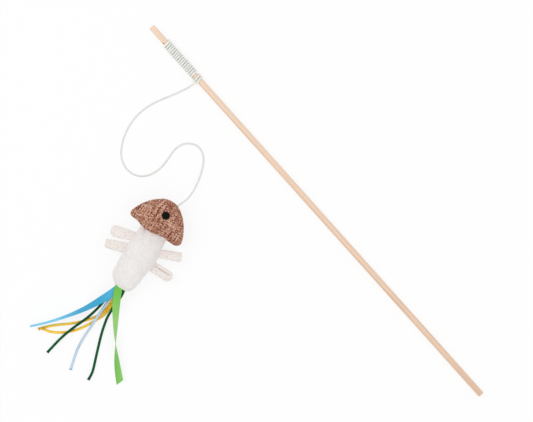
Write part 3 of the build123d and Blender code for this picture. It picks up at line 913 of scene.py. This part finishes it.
def eased(places, values, at):
    """A smooth curve through a table of values."""
    places, values, at = np.array(places), np.array(values), np.asarray(at, float)
    slopes = np.gradient(values, places)
    span = np.clip(np.searchsorted(places, at) - 1, 0, len(places) - 2)
    gap = places[span + 1] - places[span]
    t = np.clip((at - places[span]) / gap, 0.0, 1.0)
    start, end = values[span], values[span + 1]
    rise = (2 * t**3 - 3 * t**2 + 1) * start + (3 * t**2 - 2 * t**3) * end
    return rise + gap * ((t**3 - 2 * t**2 + t) * slopes[span] + (t**3 - t**2) * slopes[span + 1])


def body_half_width(along):
    return eased(OUTLINE_ALONG, HALF_WIDTHS, along)


def body_middle(along):
    return eased(OUTLINE_ALONG, MIDDLES, along)


def body_rise(along):
    return BODY_SWELL * eased(ALONG_SHARES, HEIGHT_SHARES, np.asarray(along) / BODY_LENGTH)


print("body half width at its middle in mm:", round(float(body_half_width(25)), 2))

# %% [markdown]
# ## The head
# A half dome of tweed, rounded at the top and sewn round its rim. Its outline is read from the CAD panel, with
# the base edge pulled a little askew by the gathers, and rings from the crown to the rim make the dome. The rim
# is raised where it lies over the body, drawn in at the seam, and the weave lifts every ring, so that threads
# show on the edge. Underneath, the eye that the head lies on presses a dent into it.

# %% Head outline
CROWN_ALONG, CROWN_ACROSS = -11.0, -1.2
HEAD_SPOKES = 448
BASE_HALF, BASE_FADE, BASE_FROM = 22.5, 5.0, -1.5
BASE_ACROSS = [-25.0, -20.0, -15.4, -12.9, -9.6, -5.7, -0.9, 4.1, 9.2, 12.5, 18.2, 23.0]
BASE_ALONG = [0.6, 1.0, 1.8, 2.9, 3.4, 3.8, 3.6, 2.4, 1.6, 2.0, 2.3, 1.4]


def head_outline(spokes):
    """How far the rim is from the crown in each direction, from the CAD panel's seam edge."""
    panel = np.array([v.co for v in frame["nodes"]["head_front_panel"].data.vertices])
    away = (panel - np.array(LURE_ORIGIN)) / MM
    flat = np.stack([away @ np.array(LURE_WAY), away @ np.array(LURE_ACROSS)], 1)
    edge = (flat - (CROWN_ALONG, CROWN_ACROSS))[np.abs(away[:, 2] - SEAM) < 1.0]
    hull = edge[geometry.convex_hull_2d([tuple(p) for p in edge])]
    reach = []
    for turn in spokes:
        way = np.array((math.cos(turn), math.sin(turn)))
        hits = []
        for a, b in zip(hull, np.roll(hull, -1, axis=0)):
            side = b - a
            bend = way[0] * side[1] - way[1] * side[0]
            if abs(bend) > 1e-9:
                out = (a[0] * side[1] - a[1] * side[0]) / bend
                part = (a[0] * way[1] - a[1] * way[0]) / bend
                if out > 0 and -1e-6 <= part <= 1 + 1e-6:
                    hits.append(out)
        reach.append(max(hits))
    return np.array(reach)


spokes = np.linspace(0, 2 * math.pi, HEAD_SPOKES, endpoint=False)
rim = head_outline(spokes)
rim_along = CROWN_ALONG + rim * np.cos(spokes)
rim_across = CROWN_ACROSS + rim * np.sin(spokes)
near_base = np.clip((BASE_HALF - np.abs(rim_across - CROWN_ACROSS)) / BASE_FADE, 0, 1) * (rim_along > BASE_FROM)
rim_along += near_base * (np.interp(rim_across, BASE_ACROSS, BASE_ALONG) - rim_along)
rim_along = smoothed(rim_along, 3, "wrap")
reach_along, reach_across = rim_along - CROWN_ALONG, rim_across - CROWN_ACROSS
rim = np.hypot(reach_along, reach_across)
print("rim to crown in mm:", round(rim.min(), 1), "to", round(rim.max(), 1))

# %% Head rings
HEAD_RINGS, HEAD_SWELL, DOME_POWER, DOME_REACH = 96, 10.0, 2.1, 22.0
LIFT_GAP, LIFT_FROM = 0.4, -2
WEAVE_TURN, BACK_CLOTH = math.radians(90.0), 60.0
back = np.maximum(rim_along, 0)
under = np.clip(1 - ((rim_across - body_middle(back)) / (body_half_width(back) + 0.5)) ** 2, 0, 1)
lift = (body_rise(back) * np.sqrt(under) + LIFT_GAP * (under > 0)) * (rim_along > LIFT_FROM)
lift = smoothed(lift, 6, "wrap")
fine = np.linspace(0, math.pi / 2, 4001)
arc = np.concatenate([[0.0], np.cumsum(np.hypot(
    np.diff(DOME_REACH * np.sin(fine) ** (2 / DOME_POWER)),
    np.diff(HEAD_SWELL * np.cos(fine) ** (2 / DOME_POWER)),
))])
tilts = np.interp(np.linspace(0, arc[-1], HEAD_RINGS + 1), arc, fine)
scale, crown = np.sin(tilts) ** (2 / DOME_POWER), np.cos(tilts) ** (2 / DOME_POWER)


def head_half(side):
    """Rings of one panel, crown first: spots in the lure's axes and cloth coordinates."""
    along = CROWN_ALONG + scale[:, None] * reach_along
    across = CROWN_ACROSS + scale[:, None] * reach_across
    height = SEAM + side * HEAD_SWELL * crown[:, None] + lift * scale[:, None] ** 4
    run = np.hypot(np.diff(scale)[:, None] * rim, np.diff(crown)[:, None] * HEAD_SWELL)
    run = np.concatenate([np.zeros((1, HEAD_SPOKES)), np.cumsum(run, axis=0)])
    u, v = run * reach_along / rim, run * reach_across / rim
    turn = WEAVE_TURN * side
    warp = u * math.cos(turn) - v * math.sin(turn)
    weft = u * math.sin(turn) + v * math.cos(turn)
    return np.stack([along, across, height], 2), np.stack([warp, weft, run * 0], 2)


def both_halves(top, low):
    """One list from crown to crown, with the rim that the panels share taken once."""
    return np.concatenate([top[0, :1], top[1:].reshape(-1, 3), low[-2:0:-1].reshape(-1, 3), low[0, :1]])


top, top_cloth = head_half(1)
low, low_cloth = head_half(-1)
low_cloth[:, :, 2] = BACK_CLOTH
shape, cloth = both_halves(top, low), both_halves(top_cloth, low_cloth)
bands = 2 * HEAD_RINGS - 1
head_faces = sew_dome(bands, HEAD_SPOKES)
print("head points:", len(shape))

# %% Head cloth
HEAD_SLACK, WEAVE_LIFT, HEAD_LUMPS = 0.6 * MM, 0.28, (0.2, 300)
RIM_SINK, RIM_WIDTH = 0.35, 0.5
EYE_ALONG, EYE_ACROSS = -14.0, 0.35
DENT_DEPTH, DENT_REACH, DENT_FADE = 0.85, 5.0, 1.6
head_points = lure_points(*shape.T)
head_points = head_points + swell("head", head_points, head_faces, HEAD_SLACK)
ways = outward(head_points, head_faces)
ring_of = np.concatenate([[0], np.repeat(np.arange(1, bands + 1), HEAD_SPOKES), [bands + 1]])
from_seam = np.abs(ring_of - HEAD_RINGS) * (arc[-1] / HEAD_RINGS)
relief = WEAVE_LIFT * weave_height(cloth[:, 0] / THREAD, cloth[:, 1] / THREAD)
relief += lumps(head_points, HEAD_LUMPS)
relief -= RIM_SINK * np.exp(-((from_seam / RIM_WIDTH) ** 2))
head_points = rest_on_table(head_points + ways * relief[:, None] * MM)
from_eye = np.hypot(shape[:, 0] - EYE_ALONG, shape[:, 1] - EYE_ACROSS)
dent = DENT_DEPTH * np.clip((DENT_REACH - from_eye) / DENT_FADE, 0, 1) * (shape[:, 2] < SEAM)
head_points[:, 2] = np.maximum(head_points[:, 2], TABLE + dent * MM)
head = make_piece("head_cloth", head_points, head_faces, tweed, 180.0, cloth=cloth)
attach(head, "lure")
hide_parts("head_front_panel", "head_back_panel", "head_stuffing")

# %% [markdown]
# ## The body
# Two panels of white plush, sewn at the sides. The shape is the rule above, with a few pleats where it is
# gathered into the head, a crease at each side seam and the lumps of a hand-stuffed toy. Cloth pressure gives
# it its slack between the seams.

# %% Plush finish
plush, graph = finish_graph("plush")
nap = graph.mark("nap", "Vector")
pile = graph.speckle(nap, 3.2, 5.0, 0.65)
clump = graph.speckle(nap, 0.42, 3.0)
soil = graph.speckle(nap, 0.09, 2.0)
tone = pile * 0.5 + clump * 0.35 + soil * 0.3
colour = graph.ramp(tone, (0.3, (218, 210, 206)), (0.52, (238, 233, 231)), (0.75, (248, 245, 243)))
relief = pile * 0.6 + clump * 0.6
coat(graph, colour, 0.9 + pile * 0.08, relief, 0.0004, Sheen_Weight=0.25, Sheen_Roughness=0.6)
print("finish:", plush.name)

# %% Body
BODY_ROUND, BODY_START, BODY_FULL = 224, -3.0, 1.12
BODY_SLACK, BODY_LUMPS = 0.5 * MM, [(0.34, 140), (0.2, 420), (0.1, 1300)]
SIDE_SINK, SIDE_WIDTH, SIDE_RADIUS = 0.4, 0.7, 12.0
PLEATS_FROM, PLEAT_LENGTH, PLEAT_MIDDLE = 1.5, 17.0, 5.0
PLEATS = [
    (-7.2, 0.42, 1.9, 1.9), (-10.8, 0.25, -0.6, 1.5), (-2.6, 0.35, -0.5, 1.9), (6.2, 0.0, 0.35, 1.3),
    (2.0, 0.1, 0.25, 1.3),
]
stations = np.concatenate([np.linspace(BODY_START, 50, 150), np.linspace(50, BODY_LENGTH, 24)[1:]])
turns = np.linspace(0, 2 * math.pi, BODY_ROUND, endpoint=False)


def pleat_depth(along, across, above):
    """How far the gathers at the neck sink, in mm; a ridge is negative."""
    fade = np.clip(1 - (along - PLEATS_FROM) / PLEAT_LENGTH, 0, 1) ** 1.2 * above
    return sum(
        deep * fade * np.exp(-(((across - place - lean * (along - PLEAT_MIDDLE)) / wide) ** 2))
        for place, lean, deep, wide in PLEATS
    )


half, rise = body_half_width(stations)[:, None], body_rise(stations)[:, None]
across = body_middle(stations)[:, None] + half * np.cos(turns)
height = SEAM + rise * bowed(np.sin(turns), BODY_FULL)
along = stations[:, None] + 0 * across
body_points = lure_points(along, across, height)
body_faces = sew_rings(len(stations), BODY_ROUND)
body_points = body_points + swell("body", body_points, body_faces, BODY_SLACK)
ways = outward(body_points, body_faces)
girth = np.minimum(turns, 2 * math.pi - turns)
from_side = np.minimum(girth, math.pi - girth) * SIDE_RADIUS
relief = -SIDE_SINK * np.exp(-((from_side / SIDE_WIDTH) ** 2)) * np.ones_like(along)
relief -= pleat_depth(along, across, np.clip(np.sin(turns), 0, 1))
relief = relief.ravel() + lumps(body_points, *BODY_LUMPS)
body_points = rest_on_table(body_points + ways * relief[:, None] * MM)
nap_marks = np.stack([along.ravel(), across.ravel(), height.ravel()], 1)
body = make_piece("body_cloth", body_points, body_faces, plush, 70.0, nap=nap_marks)
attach(body, "lure")
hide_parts("body_front_panel", "body_back_panel", "body_stuffing")

# %% [markdown]
# ## The ribs
# Each rib is a short piece of cream tape, folded and sewn into the side seam. Two are rounded at the tip and
# two are square. A flattened tube makes the fold, and the tape's own weave is lifted into it.

# %% Rib finish
RIB_THREAD = 0.75
rib_tape, graph = finish_graph("rib_tape")
cloth_mark = graph.mark("cloth", "Vector")
height, fleck, *_ = weave_nodes(graph, cloth_mark, RIB_THREAD)
fibre = graph.speckle(cloth_mark, 4.0, 4.0)
blotch = graph.speckle(cloth_mark, 0.35, 2.0)
# height * 0.2 is painted shade and light: the low places of the weave darker, the raised threads lighter
tone = fleck * 0.3 + fibre * 0.3 + blotch * 0.4 + height * 0.2
colour = graph.ramp(tone, (0.15, (216, 200, 191)), (0.4, (237, 226, 219)), (0.64, (249, 243, 239)))
# painted shade: the fold mark darkens the crease, the band near the tip and the rim towards a brown shade
colour = graph.mix(graph.mark("fold"), colour, paint(178, 146, 130))
coat(graph, colour, 0.85 + fibre * 0.1, height + fibre * 0.5, 0.00016, Specular_IOR_Level=0.2)
print("finish:", rib_tape.name)

# %% Ribs
RIB_ROOT, RIB_DROOP = 15.0, math.radians(8.0)
RIBS = {
    "upper_right_rib": (1, 12.76, 14.83, 7.3, 23.0, False, (0.95, 1.0, 1.05)),
    "lower_right_rib": (1, 25.3, 16.09, 8.6, 0.0, True, (0.98, 1.0, 1.06)),
    "upper_left_rib": (-1, 14.6, 15.7, 8.94, -17.5, True, (0.84, 1.0, 1.06)),
    "lower_left_rib": (-1, 25.73, 13.86, 8.2, -19.0, False, (1.02, 0.98, 0.9)),
}
RIB_STEPS, RIB_ROUND, RIB_TUCK = 78, 72, 5.2
RIB_WEAVE, RIB_LUMPS = 0.09, (0.16, 330)
ROUND_SHARE, SQUARE_CORNER = 0.46, 1.1
CREASED, CREASE_SHARE, CREASE_WIDTH, CREASE_SINK = "lower_right_rib", 0.17, 0.36, 0.35
BANDED, BAND_SHARE, BAND_WIDTH, BAND_SINK = "lower_left_rib", 0.74, 0.3, 0.25
EDGE_WIDTH, EDGE_SHADE = 0.25, 0.4
RIB_THICK, RIB_BEND = [0.9, 1.1, 1.55, 1.0], (13.4, 16.6)


def make_rib(name, side, at, length, width, slant, rounded, spread):
    """A folded tape: its side, place, length, width, slant in degrees, tip, and widths from root to tip."""
    out = np.linspace(-RIB_TUCK, length, RIB_STEPS)
    corner = ROUND_SHARE * width if rounded else SQUARE_CORNER
    past = np.clip((out - (length - corner)) / corner, 0, 1)
    tip = np.sqrt(np.clip(1 - past**2, 0.0016, 1))
    half = width / 2 - corner * (1 - tip)
    half = np.maximum(half, 0.05) * np.interp(out / length, [0.0, 0.5, 0.9], spread)
    thick = np.interp(out, [-RIB_TUCK, 0, length * 0.45, length], RIB_THICK)
    thick *= np.clip(tip, 0.12, 1) ** 0.6
    turns = np.linspace(0, 2 * math.pi, RIB_ROUND, endpoint=False)
    lane = half[:, None] * bowed(np.cos(turns), 0.75)
    high = thick[:, None] * bowed(np.sin(turns), 0.8)
    far = out[:, None] + 0 * lane
    lean = math.radians(slant)
    forward = far * math.cos(lean) - lane * math.sin(lean)
    headward = far * math.sin(lean) + lane * math.cos(lean)
    along = at - headward
    across = side * (RIB_ROOT + forward)
    drop = np.clip(far, 0, None) * math.tan(RIB_DROOP)
    points = lure_points(along, across, SEAM - drop + high)
    faces = sew_rings(RIB_STEPS, RIB_ROUND)
    ways = outward(points, faces)
    cloth = np.stack([far.ravel(), lane.ravel(), 20 * np.sign(high.ravel())], 1)
    relief = RIB_WEAVE * weave_height(cloth[:, 0] / RIB_THREAD, cloth[:, 1] / RIB_THREAD)
    relief += lumps(points, RIB_LUMPS)
    crease = np.exp(-(((lane.ravel() - width * CREASE_SHARE) / CREASE_WIDTH) ** 2)) * (name == CREASED)
    crease *= np.clip((length * 0.9 - far.ravel()) / 2.0, 0, 1)
    band = np.exp(-(((far.ravel() - length * BAND_SHARE) / BAND_WIDTH) ** 2)) * (name == BANDED)
    dash = 0.5 + 0.8 * np.array([noise.noise(Vector((0.8 * f, 0.5 * l, at))) for f, l in cloth[:, :2]])
    # painted shade along the tape's rim, where it turns away from the light, broken into dashes
    edge = np.exp(-((high.ravel() / EDGE_WIDTH) ** 2)) * EDGE_SHADE * dash
    relief -= CREASE_SINK * crease + BAND_SINK * band
    points = points + ways * relief[:, None] * MM
    # the mark for the painted shade in the crease, in the band and along the rim
    fold = np.clip(1.1 * crease * dash + 0.25 * band + edge, 0, 1)
    rib = make_piece(name + "_tape", points, faces, rib_tape, 70.0, cloth=cloth, fold=fold)
    start, end = (on_lure(at, side * place, SEAM) for place in RIB_BEND)
    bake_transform(rib)
    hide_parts(name)


for name, facts in RIBS.items():
    make_rib(name, *facts)

# %% [markdown]
# ## The eyes
# A round black eye is stuck on each face of the head. It is a flat disc with an eased edge and a slight crown,
# which a turned profile gives.

# %% Eyes
EYE_SPOKES = 56
EYE_PROFILE = [
    (0.0, 0.32), (1.0, 0.3), (2.0, 0.24), (2.75, 0.14), (3.0, 0.06), (3.13, -0.08), (3.15, -0.3),
    (3.15, -0.9), (0.0, -0.9),
]
eye_black, graph = finish_graph("eye")
grain = graph.speckle(graph.room(), 900.0, 3.0)
colour = graph.ramp(grain, (0.3, (7, 7, 6)), (0.7, (18, 17, 16)))
coat(graph, colour, 0.45 + grain * 0.15, grain, 0.00003, Specular_IOR_Level=0.08)


def make_eye(name, face, height):
    """The profile turned about its axis, with its crown up or down."""
    peak, *rings, base = EYE_PROFILE
    turns = np.linspace(0, 2 * math.pi, EYE_SPOKES, endpoint=False)
    spots = [(r * math.cos(turn), r * math.sin(turn), z) for r, z in rings for turn in turns]
    along, across, high = np.array([(0.0, *peak), *spots, (0.0, *base)]).T
    points = lure_points(EYE_ALONG + along, EYE_ACROSS + across, height + face * high)
    eye = make_piece(name + "_disc", points, sew_dome(len(rings), EYE_SPOKES), eye_black, 35.0)
    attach(eye, "lure")
    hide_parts(name)


make_eye("eye_front", 1, 20.1)
make_eye("eye_back", -1, 0.35)

# %% [markdown]
# ## The rod
# The CAD dowel has the right shape, so it stays and gets bare wood: a pale sanded beech or birch, with grain
# stretched along the rod and short dark flecks, and a little paler towards the tip.

# %% Wood finish
wood, graph = finish_graph("wood")
room = graph.room()
grain = graph.speckle(graph.stretch(room, (14.0, 900.0, 900.0)), 1.0, 4.0, 0.6)
band = graph.speckle(graph.stretch(room, (2.5, 160.0, 160.0)), 1.0, 2.0)
pore = graph.speckle(graph.stretch(room, (60.0, 2400.0, 2400.0)), 1.0, 2.0)
dark_pore = graph.maths("SUBTRACT", pore, 0.62, use_clamp=True)
fleck = graph.maths("MULTIPLY", dark_pore, 4.0, use_clamp=True)
tone = grain * 0.55 + band * 0.5 + (graph.parts(room).of("X") - 0.22) * 0.55
colour = graph.ramp(tone, (0.28, (214, 176, 146)), (0.52, (240, 210, 185)), (0.8, (252, 231, 210)))
colour = graph.mix(fleck * 0.45, colour, paint(192, 152, 122))
coat(graph, colour, 0.52 + grain * 0.2, grain * 0.6 + fleck * -0.6, 0.00006)
for node, finish in (("rod", wood), ("cord_stop_knot", braid)):
    frame["nodes"][node].data.materials.clear()
    frame["nodes"][node].data.materials.append(finish)
print("rod and knot dressed")

# %% [markdown]
# ## Floor and light
# The picture is a product shot on white. The floor shows white to the camera, and to anything that mirrors
# it, but part of it stays plain matt so that the object keeps a soft shadow. A large lamp from the left of
# the picture, a weaker one from the right and an even sky light it at a plain level.

# %% Floor
FLOOR_REACH, FLOOR_GLOW = 3.0, 0.82
WHITE = (1.0, 1.0, 1.0, 1.0)
floor_white, graph = finish_graph("floor_white")
rays = graph.node("ShaderNodeLightPath")
seen = rays.of("Is Camera Ray") + rays.of("Is Glossy Ray") + rays.of("Is Transmission Ray")
matt = graph.node("ShaderNodeBsdfDiffuse", None, {"Color": paint(250, 250, 250)})
glow = graph.node("ShaderNodeEmission", None, {"Color": WHITE, "Strength": 1.0})
share = graph.maths("MULTIPLY", seen, FLOOR_GLOW, use_clamp=True)
both = graph.node("ShaderNodeMixShader", None, {0: share, 1: matt, 2: glow})
graph.node("ShaderNodeOutputMaterial", None, {"Surface": both})
corners = [(x * FLOOR_REACH, y * FLOOR_REACH, TABLE) for x, y in ((-1, -1), (1, -1), (1, 1), (-1, 1))]
floor_mesh = mesh_of("floor", corners, [(0, 1, 2, 3)])
floor_mesh.materials.append(floor_white)
floor = put("floor", floor_mesh)
floor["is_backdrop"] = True
print("finish:", floor_white.name)

# %% Sky and lamps
SKY_LEVEL = 0.74
sky = bpy.data.worlds.new("studio")
sky.use_nodes = True
sky.node_tree.nodes.clear()
graph = Graph(sky.node_tree)
seen = graph.node("ShaderNodeLightPath").of("Is Camera Ray")
level = seen * (1.0 - SKY_LEVEL) + SKY_LEVEL
even = graph.node("ShaderNodeBackground", None, {"Color": WHITE, "Strength": level})
graph.node("ShaderNodeOutputWorld", None, {"Surface": even})
bpy.context.scene.world = sky


def hang_lamp(name, place, power, size):
    lamp = bpy.data.lights.new(name, "AREA")
    lamp.energy, lamp.size = power, size
    hung = put(name, lamp)
    hung.location = VIEW_CENTRE + place
    hung.rotation_euler = (-place).to_track_quat("-Z", "Y").to_euler()


hang_lamp("key", IMAGE_RIGHT * -0.9 + IMAGE_UP * 0.35 + UP * 1.2, power=5.2, size=0.9)
hang_lamp("fill", IMAGE_RIGHT * 0.9 - IMAGE_UP * 0.5 + UP * 1.3, power=4.4, size=1.2)
bpy.context.scene.view_settings.view_transform = "Standard"
print("sky and lamps ready")

# %% [markdown]
# ## Sizes and the end
# The dressed object has to keep the CAD model's size, so both boxes are written down side by side.

# %% Sizes
low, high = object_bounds()
print("visual box in mm:", [round(1000 * (b - a), 1) for a, b in zip(low, high)])
